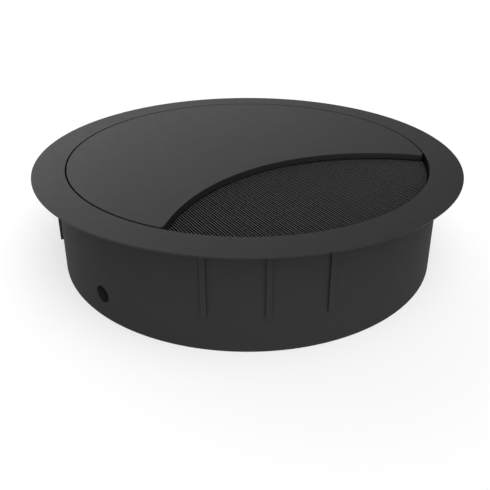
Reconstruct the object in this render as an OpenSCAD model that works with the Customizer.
// Round desk grommet. A flanged collar drops into a hole in a desk top, and a lid lies flush in it.
// The lid turns and lifts out. Cables leave through its outlet, which a strip brush closes.
// Millimetres, +Z up, origin at the centre of the collar's lower rim, front towards -Y.

/* [Desk hole] */
// Diameter of the hole in the desk top
hole_d = 80; // [70:1:100]
// Radial play between the sleeve and the hole
sleeve_play = 0.4; // [0.3:0.1:0.8]

/* [Collar] */
// Height of the collar, from its lower rim to the top of its flange
collar_h = 20.5; // [16:0.1:40]
// Reach of the flange past the edge of the hole
flange_lap = 4; // [3:0.5:8]
// Thickness of the flange
flange_t = 0.8; // [0.6:0.1:2]
// Height of the flange's thin outer edge
edge_t = 0.35; // [0.2:0.05:0.5]
// Width of the bevel under the flange's outer edge
edge_bevel = 1; // [0.5:0.1:2]
// Thickness of the sleeve's wall
wall_t = 1.9; // [1.4:0.1:3]
// Reach of the ledge under the lid, inward from the sleeve's wall
ledge_w = 2.4; // [2:0.1:4]
// Thickness of that ledge
ledge_t = 1.5; // [1:0.1:3]

/* [Crush ribs] */
// Groups of ribs round the sleeve
rib_groups = 4; // [2:1:5]
// Ribs in one group
ribs_per_group = 3; // [1:1:4]
// Angle between neighbouring ribs of a group
rib_step = 15; // [8:1:16]
// Width of a rib
rib_w = 0.95; // [0.8:0.05:2]
// Length of a rib, down from the flange
rib_l = 13; // [6:0.5:15]
// How far a rib's crest reaches past the wall of the hole, to grip it
rib_bite = 0.1; // [0:0.05:0.3]

/* [Fixing holes] */
// Diameter of the two screw holes in the sleeve
fixing_d = 3.3; // [2.5:0.1:4.5]
// Height of their axis above the lower rim
fixing_z = 4.9; // [3:0.1:8]
// Direction of their axis from +X
fixing_angle = 45; // [40:1:50]

/* [Lid] */
// Radial gap between the lid and the collar
lid_gap = 0.3; // [0.2:0.05:0.6]
// Thickness of the lid's plate
lid_t = 1.25; // [1.1:0.05:3]
// Direction of the outlet from +X, with the lid as it was last turned
outlet_angle = 297.7; // [0:0.1:360]
// Radius of the outlet's curved edge
outlet_r = 40.4; // [36:0.1:60]
// Distance of that edge from the lid's centre
outlet_apex = 8.8; // [7:0.1:14]
// Rounding of the lid's two horns, beside the outlet
horn_r = 0.9; // [0.3:0.1:1]
// Thickness of the skirt that the lid stands on
skirt_t = 1.2; // [0.8:0.1:1.6]
// Distance of the skirt in from the lid's rim
skirt_set = 0.3; // [0.2:0.05:0.5]
// Thickness of the slip ring between the skirt and the ledge
glide_t = 0.5; // [0.3:0.1:1]
// Radial play of the slip ring on the ledge
glide_play = 0.3; // [0.2:0.05:0.5]

/* [Brush] */
// Spacing of the strands in a row
strand_pitch = 0.485; // [0.45:0.005:0.8]
// Thickness of a strand
strand_d = 0.4; // [0.2:0.05:0.4]
// Height of one of the three rows of strands
row_h = 0.55; // [0.5:0.05:0.8]
// Gap between the strands' tips and the collar
tip_gap = 0.35; // [0.3:0.05:0.8]
// Reach of the strip past the outlet's two corners
strip_over = 0.7; // [0.3:0.1:2]
// Depth of the folded channel, from its back to its mouth
channel_depth = 3.4; // [2.5:0.1:5]
// Thickness of the channel's sheet
channel_t = 0.3; // [0.2:0.05:0.5]
// Distance of the channel's mouth behind the outlet's edge
mouth_back = 1.3; // [0.5:0.1:3]
// Diameter of the wire that the strands are folded round
wire_d = 0.8; // [0.5:0.1:1]
// Radial play of the wire among the strands
wire_play = 0.03; // [0.02:0.01:0.05]
// Height of the strip brush above the slip ring
brush_clear = 0.5; // [0.4:0.1:2]

/* [Brush clamp] */
// Thickness of the bar that clamps the channel to the lid
clamp_t = 1.2; // [0.8:0.1:2]
// Reach of the bar behind the screws
clamp_back = 3.2; // [3:0.1:5]
// Distance of the bar's front edge behind the channel's mouth
clamp_set = 0.6; // [0.2:0.1:1.5]
// Thickness of the rail behind the channel
rail_t = 1.2; // [0.8:0.1:2]
// Height of that rail under the lid
rail_h = 1.4; // [0.8:0.1:2]
// Diameter of the bosses that the screws go into
boss_d = 4.8; // [4:0.1:6]
// Gap between the bosses and the rail
boss_gap = 0.6; // [0.2:0.1:1.5]
// Distance of the outer screws from the ends of the strip
screw_inset = 6; // [4:0.5:12]
// Diameter of the screws' shanks
screw_d = 2.2; // [1.6:0.1:2.5]
// Radial play of a screw in its boss
screw_fit = 0.05; // [0.02:0.01:0.1]
// Radial play of a screw in the bar
screw_play = 0.2; // [0.1:0.05:0.4]
// Diameter of the screws' heads
head_d = 4.2; // [3.6:0.1:5]
// Height of the screws' heads
head_h = 1.4; // [1:0.1:2]
// Thickness of lid left above a screw hole
screw_roof = 0.8; // [0.6:0.1:1]
// Gap between a screw's tip and the end of its hole
screw_end = 0.2; // [0.1:0.05:0.4]
// Width of the cross recess in a head
recess_w = 0.6; // [0.4:0.1:0.8]
// Length of that recess
recess_l = 2.4; // [1.8:0.1:3]
// Depth of that recess
recess_h = 0.7; // [0.4:0.1:0.8]

/* [Hidden] */
$fn = 180;
cut_past = 1;

// Radii, from the desk hole inward
hole_r = hole_d / 2;
flange_r = hole_r + flange_lap;
rib_r = hole_r + rib_bite;
sleeve_r = hole_r - sleeve_play;
bore_r = sleeve_r - wall_t;
ledge_r = bore_r - ledge_w;
lid_r = bore_r - lid_gap;
skirt_r = lid_r - skirt_set - skirt_t;
tip_r = bore_r - tip_gap;

// Outlet: its edge is an arc about a centre outside the lid, and meets the lid's rim in two corners
outlet_x = outlet_apex + outlet_r;
corner = crossing(lid_r, outlet_r);
horn = crossing(lid_r - horn_r, outlet_r + horn_r);

// Strip brush, along the chord behind the outlet's edge
strip_half = corner.y + strip_over;
mouth_x = outlet_apex - mouth_back;
channel_x = mouth_x - channel_depth;
pack_h = 3 * row_h;
strip_h = pack_h + 2 * channel_t;
wire_x = channel_x + channel_t + wire_d / 2 + wire_play + channel_t;
strand_root = mouth_x - channel_t;

// Heights, from the flange's top down
lid_under = collar_h - lid_t;
strip_z = lid_under - strip_h;
pack_z = strip_z + channel_t;
glide_z = strip_z - brush_clear - glide_t;
seat_z = collar_h - flange_t;
skirt_h = strip_h + brush_clear;
skirt_open = asin((strip_half + strip_over) / skirt_r);

// Screws, in a row behind the rail
screw_x = channel_x - rail_t - boss_gap - boss_d / 2;
screw_y = strip_half - screw_inset;
screw_z = collar_h - screw_roof;
clamp_z = strip_z - clamp_t;
clamp_x = screw_x - clamp_back;

// Point with y > 0 where a circle about the lid's axis meets one about the outlet's centre
function crossing(about_lid, about_outlet) =
    let (x = (outlet_x ^ 2 + about_lid ^ 2 - about_outlet ^ 2) / (2 * outlet_x))
    [x, sqrt(about_lid ^ 2 - x ^ 2)];

// A strand's y in its row: the middle row is set half a pitch aside
function row_ys(row) =
    let (half_count = floor((strip_half - strand_pitch) / strand_pitch), aside = row == 1 ? 0.5 : 0)
    [for (i = [-half_count : half_count - (row == 1 ? 1 : 0)]) (i + aside) * strand_pitch];

// Turns a piece of the lid from its own frame, where the outlet is towards +X, to its place
module in_lid() {
    rotate([0, 0, outlet_angle]) children();
}

// One copy at each of the three screws
module at_screws() {
    for (y = [-screw_y, 0, screw_y]) translate([screw_x, y, 0]) children();
}

// A square-cut bar along the strip, with its profile in X and Z
module along_strip(half_length) {
    rotate([90, 0, 0]) linear_extrude(2 * half_length, center = true) children();
}

// Collar: flange, sleeve and ledge are one turned profile
module collar_profile() {
    polygon([
        [sleeve_r, 0],
        [sleeve_r, seat_z],
        [flange_r - edge_bevel, seat_z],
        [flange_r, collar_h - edge_t],
        [flange_r, collar_h],
        [bore_r, collar_h],
        [bore_r, glide_z],
        [ledge_r, glide_z],
        [ledge_r, glide_z - ledge_t],
        [bore_r, glide_z - ledge_t],
        [bore_r, 0]
    ]);
}

// One crush rib, rooted halfway into the sleeve's wall
module crush_rib() {
    rib_root = sleeve_r - wall_t / 2;
    translate([rib_root, -rib_w / 2, seat_z - rib_l]) cube([rib_r - rib_root, rib_w, rib_l]);
}

module crush_ribs() {
    for (group = [0 : rib_groups - 1], rib = [0 : ribs_per_group - 1]) {
        aside = (rib - (ribs_per_group - 1) / 2) * rib_step;
        rotate([0, 0, 360 / rib_groups * group + aside - 90]) crush_rib();
    }
}

module collar() {
    color("#2b2b2d") difference() {
        union() {
            rotate_extrude() collar_profile();
            crush_ribs();
        }
        for (side = [0, 180]) rotate([0, 0, fixing_angle + side]) translate([bore_r - cut_past, 0, fixing_z])
            rotate([0, 90, 0]) cylinder(d = fixing_d, h = wall_t + 2 * cut_past);
    }
}

// Loose slip ring that the lid's skirt turns on
module glide_ring() {
    color("#3a3a3c") translate([0, 0, glide_z]) rotate_extrude()
        translate([ledge_r + glide_play, 0]) square([bore_r - ledge_r - 2 * glide_play, glide_t]);
}

// Corner of the plate that a horn's rounding replaces, as a wedge from the rounding's centre
module horn_wedge() {
    to_rim = horn / norm(horn) * 2 * horn_r;
    to_outlet = ([outlet_x, 0] - horn) / norm([outlet_x, 0] - horn) * 2 * horn_r;
    polygon([horn, horn + to_rim, horn + 2 * (corner - horn), horn + to_outlet]);
}

module lid_plate() {
    translate([0, 0, lid_under]) difference() {
        cylinder(r = lid_r, h = lid_t);
        translate([outlet_x, 0, -cut_past]) cylinder(r = outlet_r, h = lid_t + 2 * cut_past);
        for (side = [0, 1]) mirror([0, side, 0]) translate([0, 0, -cut_past])
            linear_extrude(lid_t + 2 * cut_past) horn_wedge();
    }
    for (side = [-1, 1]) translate([horn.x, side * horn.y, lid_under]) cylinder(r = horn_r, h = lid_t);
}

// Skirt under the lid's rim, left out beside the brush
module lid_skirt() {
    translate([0, 0, lid_under - skirt_h]) rotate([0, 0, skirt_open])
        rotate_extrude(angle = 360 - 2 * skirt_open)
            translate([skirt_r, 0]) square([skirt_t, skirt_h + lid_t / 2]);
}

// Rail that the channel's back lies against
module channel_rail() {
    along_strip(strip_half) translate([channel_x - rail_t, lid_under - rail_h])
        square([rail_t, rail_h + lid_t / 2]);
}

module lid() {
    color("#2b2b2d") in_lid() difference() {
        union() {
            lid_plate();
            lid_skirt();
            channel_rail();
            at_screws() translate([0, 0, strip_z]) cylinder(d = boss_d, h = strip_h + lid_t / 2);
        }
        at_screws() translate([0, 0, strip_z - cut_past])
            cylinder(r = screw_d / 2 + screw_fit, h = screw_z - strip_z + cut_past);
    }
}

// Folded sheet channel of the strip brush, open towards the outlet
module brush_channel() {
    color("#6f7174") in_lid() along_strip(strip_half) translate([channel_x, strip_z]) difference() {
        square([channel_depth, strip_h]);
        translate([channel_t, channel_t]) square([channel_depth, pack_h]);
    }
}

module wire(radius) {
    translate([wire_x, 0, pack_z + pack_h / 2]) rotate([90, 0, 0])
        cylinder(r = radius, h = 2 * strip_half, center = true);
}

module core_wire() {
    color("#8d8f92") in_lid() wire(wire_d / 2);
}

// One four-sided strand, trimmed to the round of the collar
module strand(y, z) {
    tip_x = sqrt(tip_r ^ 2 - y ^ 2);
    translate([strand_root, y, z]) rotate([0, 90, 0]) cylinder(d = strand_d, h = tip_x - strand_root, $fn = 4);
}

// Three rows of strands on the pack that the channel grips, folded round the wire
module bristles() {
    color("#1d1d1f") in_lid() {
        difference() {
            along_strip(strip_half) translate([channel_x + channel_t, pack_z])
                square([channel_depth - channel_t, pack_h]);
            wire(wire_d / 2 + wire_play);
        }
        for (row = [0 : 2], y = row_ys(row)) strand(y, pack_z + (row + 0.5) * row_h);
    }
}

// Bar under the channel and the bosses
module brush_clamp() {
    color("#2b2b2d") in_lid() difference() {
        along_strip(strip_half) translate([clamp_x, clamp_z]) square([mouth_x - clamp_set - clamp_x, clamp_t]);
        at_screws() translate([0, 0, clamp_z - cut_past])
            cylinder(r = screw_d / 2 + screw_play, h = clamp_t + 2 * cut_past);
    }
}

// Pan-head screw with its head below the bar
module screw() {
    difference() {
        union() {
            translate([0, 0, clamp_z - head_h]) cylinder(d = head_d, h = head_h);
            translate([0, 0, clamp_z - head_h / 2])
                cylinder(d = screw_d, h = screw_z - screw_end - clamp_z + head_h / 2);
        }
        for (turn = [0, 90]) rotate([0, 0, turn]) translate([0, 0, clamp_z - head_h])
            cube([recess_l, recess_w, 2 * recess_h], center = true);
    }
}

module clamp_screws() {
    color("#9a9c9f") in_lid() at_screws() screw();
}

collar();
glide_ring();
lid();
brush_channel();
core_wire();
bristles();
brush_clamp();
clamp_screws();
